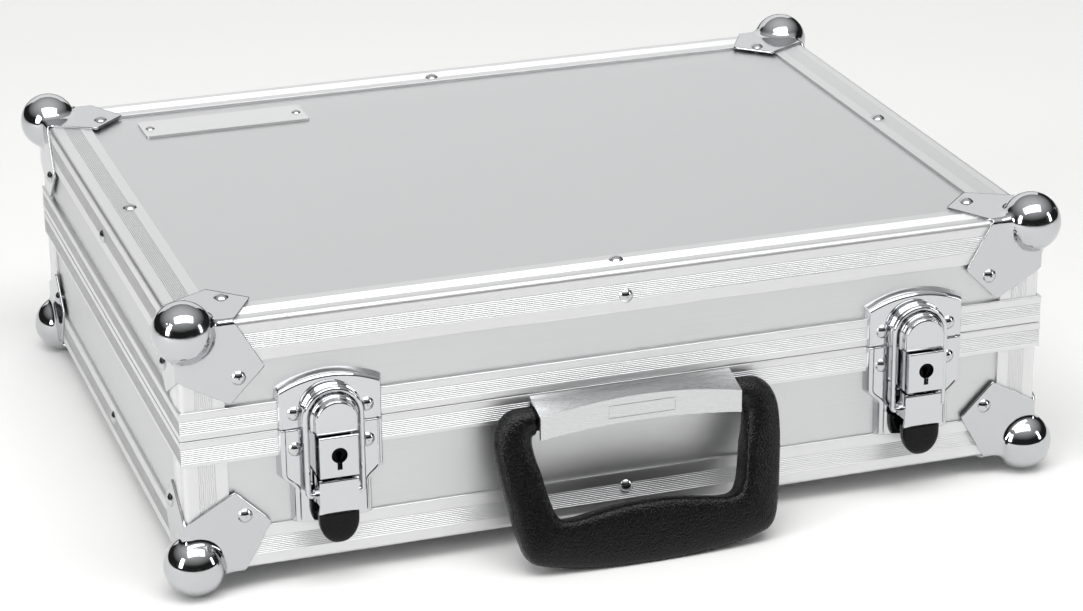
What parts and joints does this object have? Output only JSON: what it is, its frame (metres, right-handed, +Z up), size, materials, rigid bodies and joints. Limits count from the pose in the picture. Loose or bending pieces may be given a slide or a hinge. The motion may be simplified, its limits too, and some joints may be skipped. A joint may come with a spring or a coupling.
{
  "type": "aluminium carry case",
  "caption": "Flat aluminium carry case with chromed ball corners, keyed draw latches, a drop handle and a foam-lined inside.",
  "frame": {"origin": "on the floor, under the middle of the whole case's box", "axes": "+Z up, the front with latches and handle towards -Y, +X along the front to the right as seen from the front"},
  "size_m": [0.4722, 0.3998, 0.1522],
  "materials": {
    "panel_sheet": "satin brushed laminate",
    "edge_extrusion": "anodised extrusion",
    "corner_chrome": "polished plate",
    "latch_chrome": "polished plate",
    "rivet_nickel": "polished",
    "lock_brass": "turned",
    "pin_steel": "drawn",
    "hinge_steel": "zinc plated",
    "handle_cover": "satin",
    "plaque_sheet": "satin",
    "grip_plastic": "grained moulding",
    "tip_plastic": "moulded",
    "foam": "open cell foam"
  },
  "bodies": {
    "base": {"ball_corner_base_front_left": "corner_chrome", "ball_corner_base_front_right": "corner_chrome", "ball_corner_base_rear_left": "corner_chrome", "ball_corner_base_rear_right": "corner_chrome", "base_bottom_panel": "panel_sheet", "base_closure_frame": "edge_extrusion", "base_corner_angles": "edge_extrusion", "base_front_edge_angle": "edge_extrusion", "base_front_panel": "panel_sheet", "base_left_edge_angle": "edge_extrusion", "base_left_panel": "panel_sheet", "base_rear_edge_angle": "edge_extrusion", "base_rear_panel": "panel_sheet", "base_right_edge_angle": "edge_extrusion", "base_right_panel": "panel_sheet", "base_rivets": "rivet_nickel", "foam_tray_floor": "foam", "foam_tray_walls": "foam", "handle_bracket": "handle_cover", "handle_pins": "pin_steel", "hinge_base_leaves": "hinge_steel", "hinge_pins": "pin_steel", "latch_plate_left": "latch_chrome", "latch_plate_right": "latch_chrome", "lever_pins": "pin_steel", "lock_housing_left": "latch_chrome", "lock_housing_right": "latch_chrome"},
    "lid": {"ball_corner_lid_front_left": "corner_chrome", "ball_corner_lid_front_right": "corner_chrome", "ball_corner_lid_rear_left": "corner_chrome", "ball_corner_lid_rear_right": "corner_chrome", "foam_lid_pad": "foam", "hinge_lid_leaves": "hinge_steel", "keeper_left": "latch_chrome", "keeper_right": "latch_chrome", "lid_closure_frame": "edge_extrusion", "lid_corner_angles": "edge_extrusion", "lid_front_edge_angle": "edge_extrusion", "lid_front_panel": "panel_sheet", "lid_left_edge_angle": "edge_extrusion", "lid_left_panel": "panel_sheet", "lid_rear_edge_angle": "edge_extrusion", "lid_rear_panel": "panel_sheet", "lid_right_edge_angle": "edge_extrusion", "lid_right_panel": "panel_sheet", "lid_rivets": "rivet_nickel", "lid_top_panel": "panel_sheet", "plaque": "plaque_sheet", "plaque_rivets": "rivet_nickel"},
    "grip": {"handle_grip": "grip_plastic"},
    "lever_left": {"lever_left": "latch_chrome", "thumb_tip_left": "tip_plastic"},
    "bail_left": {"bail_left": "latch_chrome"},
    "lock_left": {"lock_barrel_left": "lock_brass"},
    "lever_right": {"lever_right": "latch_chrome", "thumb_tip_right": "tip_plastic"},
    "bail_right": {"bail_right": "latch_chrome"},
    "lock_right": {"lock_barrel_right": "lock_brass"}
  },
  "joints": [
    {"name": "lid_hinge", "type": "hinge", "parent": "base", "child": "lid", "pos_m": [0, 0.19349, 0.0826], "axis": [-1, 0, 0], "range_deg": [0, 95]},
    {"name": "handle_pivot", "type": "hinge", "parent": "base", "child": "grip", "pos_m": [0.0013, -0.16481, 0.0716], "axis": [-1, 0, 0], "range_deg": [-14, 130]},
    {"name": "lever_left_pivot", "type": "hinge", "parent": "base", "child": "lever_left", "pos_m": [-0.1522, -0.16651, 0.0548], "axis": [-1, 0, 0], "range_deg": [0, 95]},
    {"name": "bail_left_pivot", "type": "hinge", "parent": "lever_left", "child": "bail_left", "pos_m": [-0.1522, -0.16421, 0.0486], "axis": [-1, 0, 0], "range_deg": [-110, 0]},
    {"name": "lock_left_turn", "type": "hinge", "parent": "base", "child": "lock_left", "pos_m": [-0.1522, -0.16621, 0.0721], "axis": [0, -1, 0], "range_deg": [0, 90]},
    {"name": "lever_right_pivot", "type": "hinge", "parent": "base", "child": "lever_right", "pos_m": [0.1548, -0.16651, 0.0548], "axis": [-1, 0, 0], "range_deg": [0, 95]},
    {"name": "bail_right_pivot", "type": "hinge", "parent": "lever_right", "child": "bail_right", "pos_m": [0.1548, -0.16421, 0.0486], "axis": [-1, 0, 0], "range_deg": [-110, 0]},
    {"name": "lock_right_turn", "type": "hinge", "parent": "base", "child": "lock_right", "pos_m": [0.1548, -0.16621, 0.0721], "axis": [0, -1, 0], "range_deg": [0, 90]}
  ],
  "couplings": [
    {"joint": "bail_left_pivot", "follows": "lever_left_pivot", "ratio": -1.15},
    {"joint": "bail_right_pivot", "follows": "lever_right_pivot", "ratio": -1.15}
  ]
}
